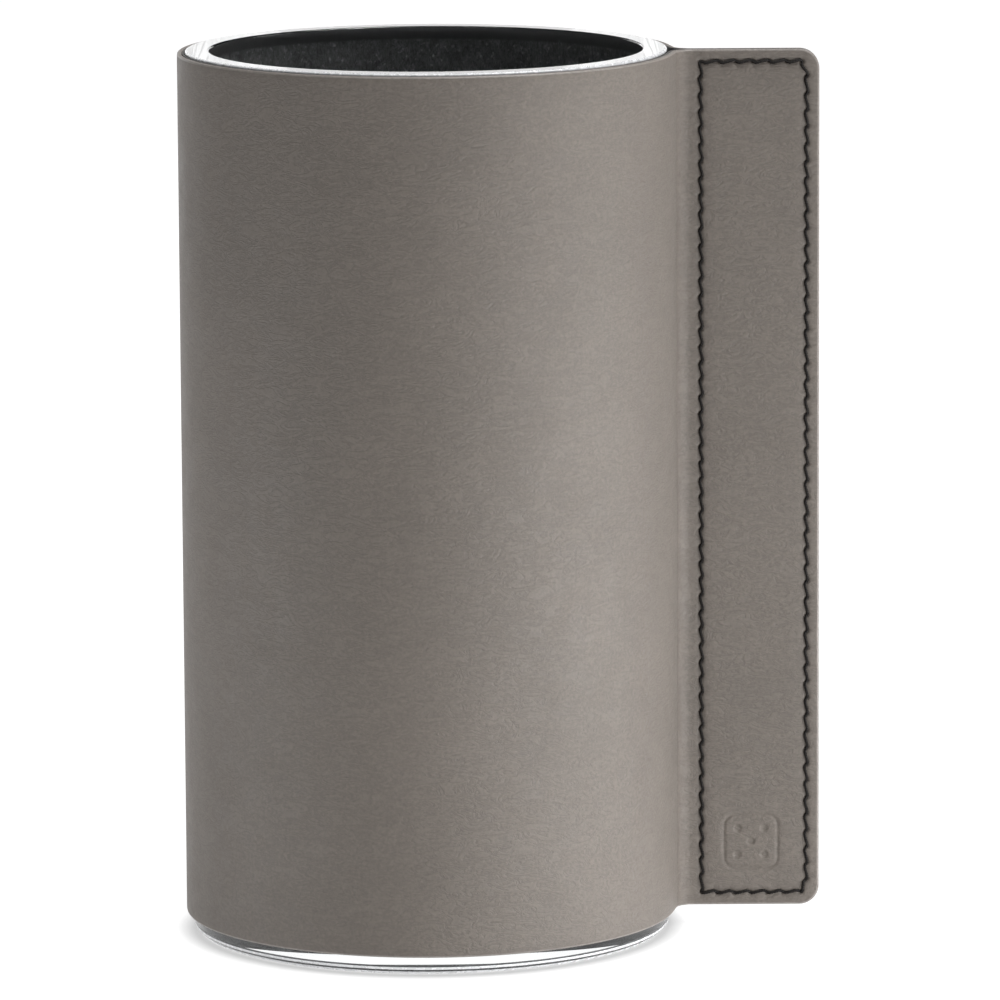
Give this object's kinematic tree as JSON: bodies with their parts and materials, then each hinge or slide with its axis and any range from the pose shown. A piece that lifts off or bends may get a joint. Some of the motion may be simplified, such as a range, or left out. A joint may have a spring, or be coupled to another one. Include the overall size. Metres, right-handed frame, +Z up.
{
  "type": "leather-jacketed glass cup",
  "caption": "Thick-walled clear glass cylinder in a wrapped leather jacket whose ends form a flat stitched tab; the jacket slides off upwards.",
  "frame": {"origin": "centre of the glass's underside, on the cup's axis", "axes": "+Z up along the cup's axis; +X from the axis out through the stitched tab; the tab's front face looks along -Y"},
  "size_m": [0.1613, 0.125, 0.2244],
  "materials": {
    "clear_glass": "clear polished glass, about 6 mm thick",
    "taupe_leather": "smooth fine-grained matt leather, warm taupe grey, with paler cut edges",
    "black_felt": "black fibrous felt or suede backing",
    "dark_thread": "near-black brown twisted sewing thread"
  },
  "bodies": {
    "cup": {"glass_cup": "clear_glass"},
    "sleeve": {"leather_sleeve": "taupe_leather", "sleeve_lining": "black_felt", "needle_thread": "dark_thread", "bobbin_thread": "dark_thread"}
  },
  "joints": [
    {"name": "sleeve_slide", "type": "slide", "parent": "cup", "child": "sleeve", "axis": [0, 0, 1], "range_m": [-0.0044, 0.222]}
  ]
}
